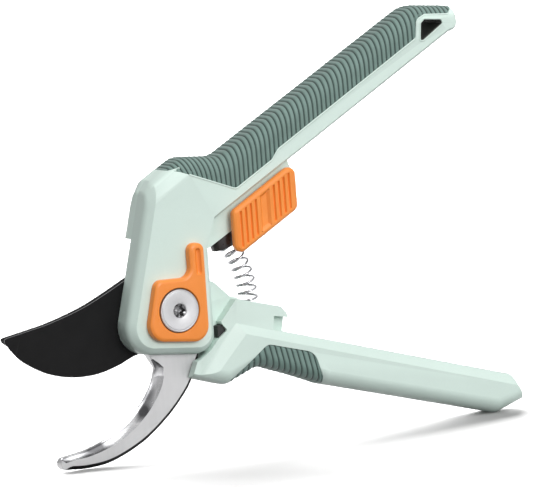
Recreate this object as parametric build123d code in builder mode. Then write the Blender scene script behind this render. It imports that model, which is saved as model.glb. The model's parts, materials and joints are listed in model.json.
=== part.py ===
"""Bypass pruner standing on the tip of its hook and the end of its lower handle.

The cutting plane is the XZ plane: +X runs from the blades to the handles, +Y points to the
back and +Z up. All outlines are drawn from the pivot axis, which lies at (PIVOT_X, PIVOT_Z).
Depths are counted from the face where hook and blade meet, and are negative in front of it.
"""
import os
from math import cos, radians, sin

from build123d import *

# ---------------------------------------------------------------- driving dimensions, mm
PIVOT_X = -37.04          # pivot axis, from the middle of the tool's length
PIVOT_Z = 51.62           # pivot axis above the surface that the tool stands on
MEETING_Y = 1.2           # where hook and blade meet, from the middle of the thickness

FRONT = -9.2              # depth of the upper handle's front face
BACK = 7.6                # depth of the back faces of both handles
LOWER_FRONT = -8.5        # depth of the lower handle's front face
NECK_FRONT = -3.2         # depth of the lower neck, which runs behind the head
BLOCK_FRONT = -6.8        # depth of the upper block behind the lock slider
CLEAR = 0.3               # play beside parts that move past each other

UPPER_LEAN = 29.3         # direction of the upper handle above +X, degrees
LOWER_LEAN = -16.3        # direction of the lower handle

HOOK_T = 3.5              # thickness of the hook
BLADE_T = 3.0             # thickness of the cutting blade
HUB_R = 13.0              # round hub of the hook, the blade and the lower handle
SWEEP_R = 27.5            # the upper handle's back half is cut back to this radius
NECK_R = 15.8             # the neck's front layer starts at this radius
LOBE_R = 20.8             # the lower handle's front is cut back to this radius
BOLT_R = 4.0              # shoulder of the pivot bolt
BOLT_HEAD_R = 7.45
BOLT_HEAD_T = 2.0
LEVER_T = 3.0             # how far the lever stands off the head
BUSHING_R = BOLT_R + 1.05  # outside of the bushing that the lower handle turns on
PIN_R = 1.6               # pins that hold the two blades
SCREW_R = 1.1             # shank of the shell screws
SCREW_HEAD_R = 2.5
SCREW_FACE = BACK - 0.2   # depth of the screw heads' faces
SCREW_HEAD_T = 1.4
SCREW_TIP = -5.0          # depth of the screws' tips in the front shells
GRIP_T = 2.2              # thickness of the soft grips
SPRING_ARC_R = 32.8       # the return spring stands at this radius from the pivot
SPRING_R = 3.2            # mean radius of its coils
WIRE_R = 0.4
SPRING_COILS = 9
SPRING_Y = -1.0           # depth of the spring's middle
CUP_R = 4.7               # ring that holds the spring's upper end
POCKET_R = 5.8            # pocket in the lower handle for its lower end
POCKET_DEPTH = 9.5
LOCK_TRAVEL = 5.0         # travel of the lock slider along the upper handle
PLATE_BACK = -8.8         # depths of the lock slider's plate
PLATE_FACE = -11.4
GROOVE_PITCH = 2.1        # grooves across the lock slider
GROOVE_W = 0.5


# ---------------------------------------------------------------- drawing helpers
def depth(y):
    """Drawing plane at a depth, centred on the pivot axis and seen from the front."""
    return Plane(origin=(PIVOT_X, MEETING_Y + y, PIVOT_Z), x_dir=(1, 0, 0), z_dir=(0, -1, 0))


def at(x, y, z):
    """Point in space, from its place beside the pivot and its depth."""
    return (PIVOT_X + x, MEETING_Y + y, PIVOT_Z + z)


def polar(radius, angle):
    return (radius * cos(radians(angle)), radius * sin(radians(angle)))


def along(distance, offset, lean=UPPER_LEAN):
    """Point at a distance along a handle from the pivot and an offset above it."""
    c, s = cos(radians(lean)), sin(radians(lean))
    return (distance * c - offset * s, distance * s + offset * c)


def rounded(points, radii):
    """Face with straight sides, each of its corners rounded to its own radius."""
    corners = [Vector(*p) for p in points]
    count = len(corners)
    ends = []
    for i, corner in enumerate(corners):
        before = (corners[i - 1] - corner).normalized()
        after = (corners[(i + 1) % count] - corner).normalized()
        half = radians(before.get_angle(after)) / 2
        reach = radii[i] * cos(half) / sin(half)
        middle = corner + (before + after).normalized() * (radii[i] / sin(half) - radii[i])
        ends.append((corner + before * reach, middle, corner + after * reach))
    with BuildLine() as line:
        for i in range(count):
            start, end = ends[i][2], ends[(i + 1) % count][0]
            if radii[i] > 0:
                ThreePointArc(*ends[i])
            if (end - start).length > 0.001:
                Line(start, end)
    make_face(line.edges())


def edges_on(part, start, end):
    """Edges of a part that lie on a line drawn from the pivot, at any depth."""
    direction = (Vector(*end) - Vector(*start)).normalized()

    def lies_on(edge):
        middle = edge.center() - Vector(PIVOT_X, 0, PIVOT_Z)
        offset = Vector(middle.X, middle.Z) - Vector(*start)
        return abs(direction.cross(offset).Z) < 0.2

    return part.edges().filter_by(lies_on)


def front_of(edges):
    return edges.group_by(Axis.Y)[0]


def back_of(edges):
    return edges.group_by(Axis.Y)[-1]


# ---------------------------------------------------------------- outlines from the pivot
HEAD_RIGHT = 15.9
upper_points = [
    (-21.0, -13.7),                # lower left corner of the head
    (HEAD_RIGHT, -17.3),
    (HEAD_RIGHT, 25.0),            # the side of the head turns into the strip
    (17.4, 29.2),
    along(34.7, 17.0),
    along(142.6, 16.7),            # end of the handle
    (119.4, 84.8),
    (119.9, 92.6),
    (103.6, 94.5),
    (23.2, 50.6),
    (8.5, 51.9),
    (-5.6, 43.8),                  # top left corner of the head
]
upper_radii = [10.0, 7.5, 0, 0, 0, 3.0, 3.0, 0, 12.0, 9.0, 8.0, 0]

upper_grip_points = [
    (-14.0, 51.0),
    (6.0, 47.4),
    (27.2, 39.0),
    along(60.0, 20.7),
    along(64.0, 22.4),
    along(130.2, 22.4),
    (103.4, 89.6),
    (107.0, 91.0),
    (116.4, 90.2),
    (124.0, 97.0),
    (100.0, 104.0),
    (-14.0, 64.0),
]
upper_grip_radii = [0, 6.0, 2.5, 2.0, 2.0, 1.5, 2.5, 1.0, 0, 0, 0, 0]

upper_core_points = [
    (-14.0, 44.0),
    (7.5, 49.0),
    (24.0, 47.8),
    (100.5, 89.0),
    along(130.2, 20.0),
    along(30.0, 16.0),
]

block_points = [
    (HEAD_RIGHT - 5, 24.0),
    (HEAD_RIGHT, 19.5),
    along(64.3, 8.6),
    (47.2, 52.0),
    (HEAD_RIGHT - 5, 33.0),
]

hang_hole_points = [
    (104.0, 82.2),
    (104.6, 88.4),
    (106.2, 89.8),
    (113.0, 89.0),
    (113.8, 87.3),
    (105.4, 82.0),
]
hang_hole_radii = [0.7, 0.8, 0.6, 0.9, 0.9, 0.7]

lower_points = [
    (25.05, 0.85),                 # block beside the head
    (42.2, -3.95),
    (44.6, -7.0),                  # nose that the lock catches
    (43.4, -13.0),
    (131.4, -38.7),                # end of the handle
    (136.9, -48.0),
    (125.6, -51.9),
    (57.8, -33.4),
    (48.5, -29.6),
    (32.6, -23.8),
    (19.5, -29.0),
    (5.6, -24.6),                  # tip of the lobe beside the hook
    (8.0, -19.0),
    (20.6, -9.6),                  # notch that holds the bumper
    (18.2, -6.6),
]
lower_radii = [0.8, 1.2, 1.2, 0, 4.5, 0, 6.0, 7.0, 7.0, 7.0, 7.0, 0, 1.0, 0.5, 1.0]

lower_grip_points = [
    (20.6, -27.0),
    (35.3, -16.2),
    (53.6, -21.3),
    (57.6, -35.0),
    (40.0, -42.0),
    (20.6, -36.0),
]
lower_grip_radii = [0, 3.5, 5.5, 0, 0, 0]

lower_core_points = [
    (10.0, -20.0),
    (19.5, -26.2),
    (32.6, -21.4),
    (47.6, -27.0),
    (59.0, -31.4),
    (62.0, -14.0),
    (10.0, -10.0),
]
lower_core_radii = [0, 6.0, 6.0, 6.0, 0, 0, 0]

notch_points = [(39.3, -6.9), (50.0, -9.1), (50.0, -14.8), (38.5, -11.5)]

neck_points = [
    (0, HUB_R),
    (8.0, 13.6),
    (19.3, 6.7),
    (24.4, 1.6),
    (34.0, -1.4),
    (34.0, -20.0),
    (19.5, -25.0),
    (0, -HUB_R),
]

slider_points = [(24.2, 31.6), (24.2, 15.3), (50.0, 29.8), (50.0, 46.1)]
slider_radii = [2.2, 2.6, 2.6, 2.6]

lever_points = [
    (-13.2, -9.4),
    (11.2, -12.2),
    (11.5, 22.5),                  # end of the thumb arm
    (5.5, 22.5),
    (5.5, 10.9),
    (-8.1, 11.3),
]
lever_radii = [6.0, 5.5, 2.6, 2.6, 3.6, 3.2]

hook_tang_points = [(-10.5, 5.0), (2.0, 8.0), (2.0, 38.0), (-2.6, 38.0), (-9.0, 20.0)]
hook_pin_places = [(-3.6, 20.0), (-1.0, 33.0)]
blade_pin_places = [(20.0, -14.0), (30.0, -16.4)]
upper_screw_places = [(6.5, 37.0), along(72.0, 19.5), along(98.0, 19.5), along(123.0, 19.5)]
lower_screw_places = [along(d, -7.4, LOWER_LEAN) for d in (67.0, 95.0, 123.0)]
bumper_points = [(17.3, -12.062), (20.6, -9.6), (18.9, -7.475), (17.3, -7.9)]
bumper_radii = [0, 0.5, 0, 0.4]


# ---------------------------------------------------------------- blades
def hook_face():
    """Outline of the hook: hub and curved counter blade."""
    with BuildLine() as line:
        Polyline((-HUB_R, 0), (-10.9, -11.0), (-5.9, -20.2))
        ThreePointArc((-5.9, -20.2), (-12.6, -31.5), (-23.6, -40.4))
        Spline((-23.6, -40.4), (-33.5, -44.6), (-43.8, -46.3), tangents=((-0.84, -0.55), (-1, 0)))
        ThreePointArc((-43.8, -46.3), (-45.6, -48.5), (-43.8, -50.7))
        Spline(
            (-43.8, -50.7), (-25.3, -49.7), (-3.1, -37.6), (7.9, -24.8), (12.6, -13.0),
            tangents=((1, 0), (0.35, 0.94)),
        )
        Line((12.6, -13.0), (HUB_R, 0))
        ThreePointArc((HUB_R, 0), (0, HUB_R), (-HUB_R, 0))
    make_face(line.edges())


def blade_face():
    """Outline of the cutting blade, its hub and its tang in the lower handle."""
    with BuildLine() as line:
        Spline(
            (-9.0, 14.2), (-29.3, 4.6), (-51.9, -1.3), (-61.2, -2.9),
            tangents=((-0.89, -0.45), (-1, -0.15)),
        )
        ThreePointArc((-61.2, -2.9), (-62.4, -3.4), (-62.2, -4.6))
        Spline(
            (-62.2, -4.6), (-46.8, -17.2), (-32.0, -20.0), (-11.3, -14.8), (2.0, -HUB_R),
            tangents=((0.74, -0.68), (1, 0.12)),
        )
        Polyline((2.0, -HUB_R), (14.0, -16.0), (40.0, -21.8), (42.0, -16.6), (24.0, -12.2), (15.0, -3.0))
        Line((15.0, -3.0), (9.2, 9.2))
        ThreePointArc((9.2, 9.2), (1.5, 14.3), (-9.0, 14.2))
    make_face(line.edges())


def holes(radius, places, start, length):
    """Round holes along the pivot's direction, from a depth towards the front."""
    with BuildSketch(depth(start)) as sketch:
        with Locations(*places):
            Circle(radius)
    extrude(sketch.sketch, amount=length, mode=Mode.SUBTRACT)


with BuildPart() as hook_blade:
    with BuildSketch(depth(-0.02)):
        hook_face()
        rounded(hook_tang_points, [0, 0, 3.0, 1.5, 4.0])
    extrude(amount=HOOK_T)
    holes(BOLT_R, [(0, 0)], 1, HOOK_T + 2)
    holes(PIN_R, hook_pin_places, 1, HOOK_T + 2)

with BuildPart() as cutting_blade:
    with BuildSketch(depth(BLADE_T + 0.02)):
        blade_face()
    extrude(amount=BLADE_T)
    holes(BUSHING_R + 0.05, [(0, 0)], BLADE_T + 1, BLADE_T + 2)
    holes(PIN_R, blade_pin_places, BLADE_T + 1, BLADE_T + 2)

with BuildPart() as hook_pins:
    with BuildSketch(depth(-0.05)):
        with Locations(*hook_pin_places):
            Circle(PIN_R)
    extrude(amount=6.2)

with BuildPart() as blade_pins:
    with BuildSketch(depth(BLADE_T + 3.0)):
        with Locations(*blade_pin_places):
            Circle(PIN_R)
    extrude(amount=BLADE_T + 5.6)

# ---------------------------------------------------------------- spring and its seats
spring_top = polar(SPRING_ARC_R, 43.0)
spring_foot = polar(SPRING_ARC_R, -6.0)
spring_run = Vector(spring_foot[0] - spring_top[0], 0, spring_foot[1] - spring_top[1])


def across(place, direction, y=SPRING_Y):
    """Plane at a place beside the pivot that looks along a direction in the XZ plane."""
    return Plane(origin=at(place[0], y, place[1]), x_dir=(0, 1, 0), z_dir=direction)


cup_plane = across(spring_top, -spring_run)
pocket_axis = Vector(0.16, 0, 0.987)
pocket_mouth = polar(SPRING_ARC_R, -1.0)
pocket_plane = across(pocket_mouth, -pocket_axis)

with BuildPart() as spring_cup:
    with BuildSketch(cup_plane.offset(-3.6)):
        Circle(CUP_R)
    extrude(amount=6.0)
    with BuildSketch(cup_plane.offset(-3.6)):
        Circle(CUP_R - 0.9)
    extrude(amount=4.4, mode=Mode.SUBTRACT)

with BuildPart() as spring_seat:
    with BuildSketch(pocket_plane.offset(POCKET_DEPTH - 1.0)):
        Circle(POCKET_R)
    extrude(amount=1.0)
    with BuildSketch(pocket_plane.offset(POCKET_DEPTH - 2.4)):
        Circle(2.0)
    extrude(amount=1.5)

with BuildPart() as return_spring:
    with BuildLine() as coils:
        Helix(
            pitch=(spring_run.length - 1.2) / SPRING_COILS,
            height=spring_run.length - 1.2,
            radius=SPRING_R,
            center=at(spring_top[0], SPRING_Y, spring_top[1]),
            direction=spring_run,
        )
    with BuildSketch(Plane(origin=coils.line @ 0, z_dir=coils.line % 0)):
        Circle(WIRE_R)
    sweep(path=coils.line, is_frenet=True)


# ---------------------------------------------------------------- shell screws
def screw_holes(places):
    """Stepped holes for the shell screws, from the back face."""
    holes(SCREW_R, places, BACK + 1, BACK + 2)
    holes(SCREW_HEAD_R, places, BACK + 1, BACK + 1 - SCREW_FACE + SCREW_HEAD_T)


def screws(places):
    """Socket screws that join a rear shell to its front shell."""
    with BuildSketch(depth(SCREW_FACE)) as heads:
        with Locations(*places):
            Circle(SCREW_HEAD_R)
    extrude(heads.sketch, amount=SCREW_HEAD_T)
    with BuildSketch(depth(SCREW_FACE - SCREW_HEAD_T)) as shanks:
        with Locations(*places):
            Circle(SCREW_R)
    extrude(shanks.sketch, amount=SCREW_FACE - SCREW_HEAD_T - SCREW_TIP)
    with BuildSketch(depth(SCREW_FACE)) as sockets:
        with Locations(*places):
            RegularPolygon(radius=1.2, side_count=6)
    extrude(sockets.sketch, amount=0.9, mode=Mode.SUBTRACT)


# ---------------------------------------------------------------- upper handle
def column(points, radii, start, end, mode=Mode.ADD):
    """Upright body between two depths, the first one further back."""
    with BuildSketch(depth(start)) as sketch:
        rounded(points, radii)
    extrude(sketch.sketch, amount=start - end, mode=mode)


with BuildPart() as upper_form:
    column(upper_points, upper_radii, BACK, FRONT)
    top = edges_on(upper_form, upper_points[8], upper_points[9])
    fillet(front_of(top) + back_of(top), radius=6.0)
    side = edges_on(upper_form, upper_points[0], upper_points[-1])
    chamfer(front_of(side), length=2.6)
    side = edges_on(upper_form, upper_points[0], upper_points[-1])
    fillet(back_of(side), radius=4.0)
    strip = edges_on(upper_form, upper_points[4], upper_points[5])
    chamfer(front_of(strip) + back_of(strip), length=0.9)

with BuildPart() as upper_grip:
    add(upper_form.part)
    column(upper_grip_points, upper_grip_radii, BACK, FRONT, Mode.INTERSECT)
    column(upper_core_points, [0] * 6, BACK - GRIP_T, FRONT + GRIP_T, Mode.SUBTRACT)


def bar(start, end, low, high):
    """Corners of a bar that lies along the upper handle."""
    return [along(start, low), along(end, low), along(end, high), along(start, high)]


guide = (42.0, 50.0, 10.5, 13.5)       # the slider's guide block: start, end, low and high side
FOOT = 1.0                             # its foot is this much wider all round
slot_points = bar(guide[0] - LOCK_TRAVEL - CLEAR, guide[1] + CLEAR, guide[2] - CLEAR, guide[3] + CLEAR)
slot_back_points = bar(guide[0] - FOOT - LOCK_TRAVEL - CLEAR, guide[1] + FOOT + CLEAR,
                       guide[2] - FOOT - CLEAR, guide[3] + FOOT + CLEAR)
sweep_points = [(0, 0), polar(60, -75), (60, -70), (60, 60), polar(60, 84)]

with BuildPart() as upper_body:
    add(upper_form.part)
    column(block_points, [0, 0.5, 1.0, 0, 0], BACK - 1.0, BLOCK_FRONT)
    add(upper_grip.part, mode=Mode.SUBTRACT)
    column(hang_hole_points, hang_hole_radii, BACK + 1, FRONT - 1, Mode.SUBTRACT)
    with BuildSketch(cup_plane.offset(-1.4)) as cup_pocket:
        Circle(CUP_R)
    extrude(cup_pocket.sketch, amount=3.8, mode=Mode.SUBTRACT)

with BuildPart() as upper_front_shell:
    add(upper_body.part)
    split(bisect_by=depth(0), keep=Keep.TOP)
    with BuildSketch(depth(0)) as hook_pocket:
        hook_face()
        rounded(hook_tang_points, [0, 0, 3.0, 1.5, 4.0])
    extrude(hook_pocket.sketch, amount=HOOK_T + 0.02, mode=Mode.SUBTRACT)
    with BuildSketch(depth(0)) as neck_path:
        Circle(SWEEP_R)
        with BuildSketch(depth(0), mode=Mode.INTERSECT):
            rounded(sweep_points, [0] * 5)
    extrude(neck_path.sketch, amount=HOOK_T + 0.02, mode=Mode.SUBTRACT)
    holes(BOLT_R, [(0, 0)], 1, 12)
    holes(PIN_R, hook_pin_places, 1, 1 + 6.25)
    holes(SCREW_R, upper_screw_places, 1, 1 - SCREW_TIP)
    column(slot_points, [0] * 4, 0, FRONT, Mode.SUBTRACT)
    column(slot_back_points, [0] * 4, 0, -4.4, Mode.SUBTRACT)

with BuildPart() as upper_rear_shell:
    add(upper_body.part)
    split(bisect_by=depth(0), keep=Keep.BOTTOM)
    with BuildSketch(depth(BACK + 1)) as neck_space:
        Circle(SWEEP_R)
    extrude(neck_space.sketch, amount=BACK + 1, mode=Mode.SUBTRACT)
    screw_holes(upper_screw_places)

with BuildPart() as upper_screws:
    screws(upper_screw_places)


# ---------------------------------------------------------------- lower handle
LEDGE_DROP = 1.3          # the block and the rims lie this much behind the lower front face
RIDGE_W = 3.1             # width of the sloping rim along the handle's top
LOBE_SLOPE_W = 5.0        # width of the slope beside the lobe
lobe_end = (15.8, -23.3)
ridge_corner = (27.2, -11.7)
ridge_end = (131.0, -42.1)


def ledge(start, end, width):
    """Lowers the front face to the left of a line, with a slope of a given width along the line."""
    run = Vector(end[0] - start[0], 0, end[1] - start[1])
    left = Vector(-run.Z, 0, run.X).normalized()
    line_plane = Plane(origin=at(start[0], LOWER_FRONT, start[1]), x_dir=left, z_dir=run)
    with BuildSketch(line_plane) as profile:
        Polygon((0, 0), (width, -LEDGE_DROP), (40, -LEDGE_DROP), (40, 2), (0, 2), align=None)
    extrude(profile.sketch, amount=140, both=True, mode=Mode.SUBTRACT)


with BuildPart() as lower_form:
    column(lower_points, lower_radii, BACK, LOWER_FRONT)
    floor_side = edges_on(lower_form, lower_points[6], lower_points[7])
    fillet(front_of(floor_side) + back_of(floor_side), radius=5.0)
    handle_top = edges_on(lower_form, lower_points[3], lower_points[4])
    chamfer(front_of(handle_top) + back_of(handle_top), length=0.6)
    ledge(ridge_corner, ridge_end, RIDGE_W)
    ledge(lobe_end, ridge_corner, LOBE_SLOPE_W)

with BuildPart() as lower_grip:
    add(lower_form.part)
    column(lower_grip_points, lower_grip_radii, BACK, LOWER_FRONT, Mode.INTERSECT)
    column(lower_core_points, lower_core_radii, BACK - GRIP_T, LOWER_FRONT + GRIP_T, Mode.SUBTRACT)

head_side_points = [(-30, -10.2), (60, -10.2), (60, -60), (-30, -60)]
hook_side_points = [
    (-30.0, 20.0),
    (13.4, 20.0),
    (13.4, -13.0),
    (12.9, -17.0),
    (8.7, -24.8),
    (4.0, -33.0),
    (-30.0, -33.0),
]

with BuildPart() as lower_body:
    add(lower_form.part)
    with BuildSketch(depth(LOWER_FRONT + 10)) as lobe_edge:
        Circle(LOBE_R)
        with BuildSketch(depth(0), mode=Mode.INTERSECT):
            rounded(head_side_points, [0] * 4)
    extrude(lobe_edge.sketch, amount=12, mode=Mode.SUBTRACT)
    column(neck_points, [0] * 8, BACK - 1.6, NECK_FRONT)
    add(lower_grip.part, mode=Mode.SUBTRACT)
    with BuildSketch(depth(BACK - 1.6)) as hub:
        Circle(HUB_R)
    extrude(hub.sketch, amount=BACK - 1.6 - BLADE_T)
    with BuildSketch(depth(BLADE_T + 0.02)) as hub_relief:
        Circle(NECK_R)
    extrude(hub_relief.sketch, amount=12, mode=Mode.SUBTRACT)
    column(hook_side_points, [0] * 7, 0.02, -HOOK_T - CLEAR, Mode.SUBTRACT)
    column(notch_points, [0] * 4, -4.2, LOWER_FRONT - 1, Mode.SUBTRACT)
    with BuildSketch(pocket_plane.offset(-4)) as spring_pocket:
        Circle(POCKET_R)
    extrude(spring_pocket.sketch, amount=POCKET_DEPTH + 4, mode=Mode.SUBTRACT)
    with BuildSketch(depth(BLADE_T + 0.02)) as blade_pocket:
        blade_face()
    extrude(blade_pocket.sketch, amount=BLADE_T + 0.02, mode=Mode.SUBTRACT)
    holes(BUSHING_R + 0.05, [(0, 0)], BACK + 1, 20)

with BuildPart() as lower_front_shell:
    add(lower_body.part)
    split(bisect_by=depth(0), keep=Keep.TOP)
    holes(PIN_R, blade_pin_places, 1, 1 + 5.65)
    holes(SCREW_R, lower_screw_places, 1, 1 - SCREW_TIP)

with BuildPart() as lower_rear_shell:
    add(lower_body.part)
    split(bisect_by=depth(0), keep=Keep.BOTTOM)
    holes(PIN_R, blade_pin_places, BLADE_T + 3.05, 6)
    screw_holes(lower_screw_places)

with BuildPart() as lower_screws:
    screws(lower_screw_places)

with BuildPart() as stop_bumper:
    column(bumper_points, bumper_radii, NECK_FRONT, NECK_FRONT - 3.0)

# ---------------------------------------------------------------- pivot
BOLT_FACE = FRONT - LEVER_T - 0.2
with BuildPart() as pivot_bolt:
    with BuildSketch(depth(BOLT_FACE + BOLT_HEAD_T)):
        Circle(BOLT_HEAD_R)
    extrude(amount=BOLT_HEAD_T)
    chamfer(pivot_bolt.faces().sort_by(Axis.Y)[0].edges(), length=0.35)
    with BuildSketch(depth(BACK + 2.4)):
        Circle(BOLT_R - 0.02)
    extrude(amount=BACK + 2.4 - BOLT_FACE - BOLT_HEAD_T)
    with BuildSketch(depth(BOLT_FACE + 2.2)) as socket:
        RegularPolygon(radius=2.9, side_count=6)
    extrude(socket.sketch, amount=3, mode=Mode.SUBTRACT)

with BuildPart() as pivot_bushing:
    with BuildSketch(depth(BACK - 1.6)):
        Circle(BUSHING_R)
        Circle(BOLT_R, mode=Mode.SUBTRACT)
    extrude(amount=BACK - 1.6)

with BuildPart() as pivot_washer:
    with BuildSketch(depth(BACK - 0.9)):
        Circle(7.5)
        Circle(BOLT_R, mode=Mode.SUBTRACT)
    extrude(amount=0.65)

with BuildPart() as pivot_nut:
    with BuildSketch(depth(BACK + 1.9)):
        RegularPolygon(radius=6.6, side_count=6)
        Circle(BOLT_R, mode=Mode.SUBTRACT)
    extrude(amount=2.8)

# ---------------------------------------------------------------- thumb lever round the bolt
LEVER_FACE = FRONT - LEVER_T
with BuildPart() as pivot_lever:
    column(lever_points, lever_radii, FRONT - 0.05, LEVER_FACE)
    chamfer(pivot_lever.faces().sort_by(Axis.Y)[0].edges(), length=0.8)
    holes(BOLT_HEAD_R + 0.35, [(0, 0)], BOLT_FACE + BOLT_HEAD_T + 0.1, 6)
    holes(BOLT_R + 0.06, [(0, 0)], FRONT + 1, 6)
    holes(6.6, [(0, 0)], FRONT + 1, 1 + 0.55)

with BuildPart() as lever_washer:
    with BuildSketch(depth(FRONT)):
        Circle(6.4)
        Circle(BOLT_R, mode=Mode.SUBTRACT)
    extrude(amount=0.5)

# ---------------------------------------------------------------- lock slider
with BuildPart() as lock_slider:
    column(slider_points, slider_radii, PLATE_BACK, PLATE_FACE)
    chamfer(lock_slider.faces().sort_by(Axis.Y)[0].edges(), length=0.8)
    column(bar(*guide), [0.6] * 4, -3.0, PLATE_BACK)
    foot = bar(guide[0] - FOOT, guide[1] + FOOT, guide[2] - FOOT, guide[3] + FOOT)
    column(foot, [0.6] * 4, -2.6, -4.1)
    for first in (27.9, 40.5):
        for x in [first + GROOVE_PITCH * i for i in range(5)]:
            groove = [(x, 10), (x + GROOVE_W, 10), (x + GROOVE_W, 50), (x, 50)]
            column(groove, [0] * 4, PLATE_FACE + 0.5, PLATE_FACE - 1, Mode.SUBTRACT)

with BuildPart() as lock_catch:
    column(bar(45.6, 48.4, 1.9, 3.9), [0.4] * 4, -4.5, PLATE_BACK)

parts = {
    "hook_blade": hook_blade,
    "hook_pins": hook_pins,
    "cutting_blade": cutting_blade,
    "blade_pins": blade_pins,
    "spring_cup": spring_cup,
    "spring_seat": spring_seat,
    "return_spring": return_spring,
    "upper_grip": upper_grip,
    "upper_front_shell": upper_front_shell,
    "upper_rear_shell": upper_rear_shell,
    "upper_screws": upper_screws,
    "lower_grip": lower_grip,
    "lower_front_shell": lower_front_shell,
    "lower_rear_shell": lower_rear_shell,
    "lower_screws": lower_screws,
    "stop_bumper": stop_bumper,
    "pivot_bolt": pivot_bolt,
    "pivot_bushing": pivot_bushing,
    "pivot_washer": pivot_washer,
    "pivot_nut": pivot_nut,
    "pivot_lever": pivot_lever,
    "lever_washer": lever_washer,
    "lock_slider": lock_slider,
    "lock_catch": lock_catch,
}
os.makedirs("parts", exist_ok=True)
for name, piece in parts.items():
    piece.part.label = name
    export_step(piece.part, f"parts/{name}.step")
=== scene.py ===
"""Looks of the bypass pruner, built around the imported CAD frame.

Shapes are drawn like the CAD outlines: in millimetres from the pivot axis, x towards the handles and
z up, at a depth behind the face where hook and blade meet. Depths in front of that face are negative.
"""
import json
from math import asin, ceil, cos, degrees, pi, radians, sin, sqrt, tan

import bmesh
import bpy
from mathutils import Matrix, Vector


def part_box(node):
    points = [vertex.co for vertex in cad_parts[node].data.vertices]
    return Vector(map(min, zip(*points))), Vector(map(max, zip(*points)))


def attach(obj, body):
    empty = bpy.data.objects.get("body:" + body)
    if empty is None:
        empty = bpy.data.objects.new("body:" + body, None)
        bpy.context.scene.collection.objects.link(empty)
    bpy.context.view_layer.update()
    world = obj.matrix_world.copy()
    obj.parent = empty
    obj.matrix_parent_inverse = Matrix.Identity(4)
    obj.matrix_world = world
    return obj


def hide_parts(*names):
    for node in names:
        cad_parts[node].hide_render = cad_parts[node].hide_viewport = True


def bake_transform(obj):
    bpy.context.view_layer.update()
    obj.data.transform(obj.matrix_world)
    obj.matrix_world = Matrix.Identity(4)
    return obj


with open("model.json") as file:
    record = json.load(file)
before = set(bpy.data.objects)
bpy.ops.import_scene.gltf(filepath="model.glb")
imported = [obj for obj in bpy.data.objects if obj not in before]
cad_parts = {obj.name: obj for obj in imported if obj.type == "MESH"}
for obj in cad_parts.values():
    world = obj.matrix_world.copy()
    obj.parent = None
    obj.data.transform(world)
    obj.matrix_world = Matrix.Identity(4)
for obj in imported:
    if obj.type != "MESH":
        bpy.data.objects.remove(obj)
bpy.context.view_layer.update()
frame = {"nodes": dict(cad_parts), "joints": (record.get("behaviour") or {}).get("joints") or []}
scene = bpy.context.scene

MM = 0.001
squeeze = next(j for j in frame["joints"] if j["name"] == "squeeze")
PIVOT = Vector(squeeze["pos_m"])


def depth_of(node, side):
    """Depth of a CAD node's front (side 0) or back (side 1), in mm."""
    return (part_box(node)[side].y - PIVOT.y) / MM


HEAD_FACE = depth_of("upper_front_shell", 0)
BACK_FACE = depth_of("upper_rear_shell", 1)
LOWER_FACE = depth_of("lower_front_shell", 0)
HOOK_FACE = depth_of("hook_blade", 0)
BLADE_BACK = depth_of("cutting_blade", 1)
LEVER_FACE = depth_of("pivot_lever", 0)
LEVER_BACK = depth_of("pivot_lever", 1)
BOLT_FACE = depth_of("pivot_bolt", 0)
BOLT_END = depth_of("pivot_bolt", 1)
SLIDER_FACE = depth_of("lock_slider", 0)
BOLT_R = (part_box("pivot_bolt")[1].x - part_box("pivot_bolt")[0].x) / MM / 2
UPPER_LEAN = radians(29.3)      # the upper handle above +x


def place(x, depth, z):
    """Point in the shared frame, in metres."""
    return PIVOT + Vector((x, depth, z)) * MM


def along(distance, offset, lean=UPPER_LEAN):
    """Point at a distance along a handle from the pivot and an offset above it."""
    return (distance * cos(lean) - offset * sin(lean), distance * sin(lean) + offset * cos(lean))


def polar(radius, angle):
    """Point at a distance from the pivot and an angle in degrees above +x."""
    return (radius * cos(radians(angle)), radius * sin(radians(angle)))


def ease(value, start, end):
    """0 before start, 1 after end, smooth in between."""
    t = min(1.0, max(0.0, (value - start) / (end - start)))
    return t * t * (3 - 2 * t)


# ------------------------------------------------------------------ outlines
def rounded(points, radii, turn=10, longest=3.0, closed=True):
    """Outline with straight sides whose corners are rounded, as closely spaced points."""
    corners = [Vector(p) for p in points]
    count = len(corners)
    line = []
    for i, corner in enumerate(corners):
        if radii[i] == 0:
            line.append(corner)
            continue
        before = (corners[i - 1] - corner).normalized()
        after = (corners[(i + 1) % count] - corner).normalized()
        half = before.angle(after) / 2
        centre = corner + (before + after).normalized() * radii[i] / sin(half)
        start = corner + before * radii[i] / tan(half) - centre
        end = corner + after * radii[i] / tan(half) - centre
        sweep = (pi - 2 * half) * (1 if start.x * end.y - start.y * end.x > 0 else -1)
        steps = max(2, ceil(abs(degrees(sweep)) / turn))
        for k in range(steps + 1):
            line.append(centre + Matrix.Rotation(sweep * k / steps, 2) @ start)
    return spaced(line, longest, closed)


def spaced(line, longest, closed=True):
    """The same line with its long stretches divided."""
    out = []
    for i in range(len(line) if closed else len(line) - 1):
        a, b = line[i], line[(i + 1) % len(line)]
        steps = max(1, ceil((b - a).length / longest))
        out += [a.lerp(b, k / steps) for k in range(steps)]
    if not closed:
        out.append(line[-1])
    return [p for i, p in enumerate(out) if i == 0 or (p - out[i - 1]).length > 0.01]


def smooth(points, steps=8):
    """Smooth curve through points (Catmull-Rom), ends included."""
    p = [Vector(q) for q in points]
    p = [2 * p[0] - p[1]] + p + [2 * p[-1] - p[-2]]
    out = []
    for i in range(1, len(p) - 2):
        for k in range(steps):
            t = k / steps
            a = 2 * p[i]
            b = (p[i + 1] - p[i - 1]) * t
            c = (2 * p[i - 1] - 5 * p[i] + 4 * p[i + 1] - p[i + 2]) * t * t
            d = (3 * p[i] - p[i - 1] - 3 * p[i + 1] + p[i + 2]) * t ** 3
            out.append((a + b + c + d) / 2)
    return out + [p[-2]]


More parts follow.
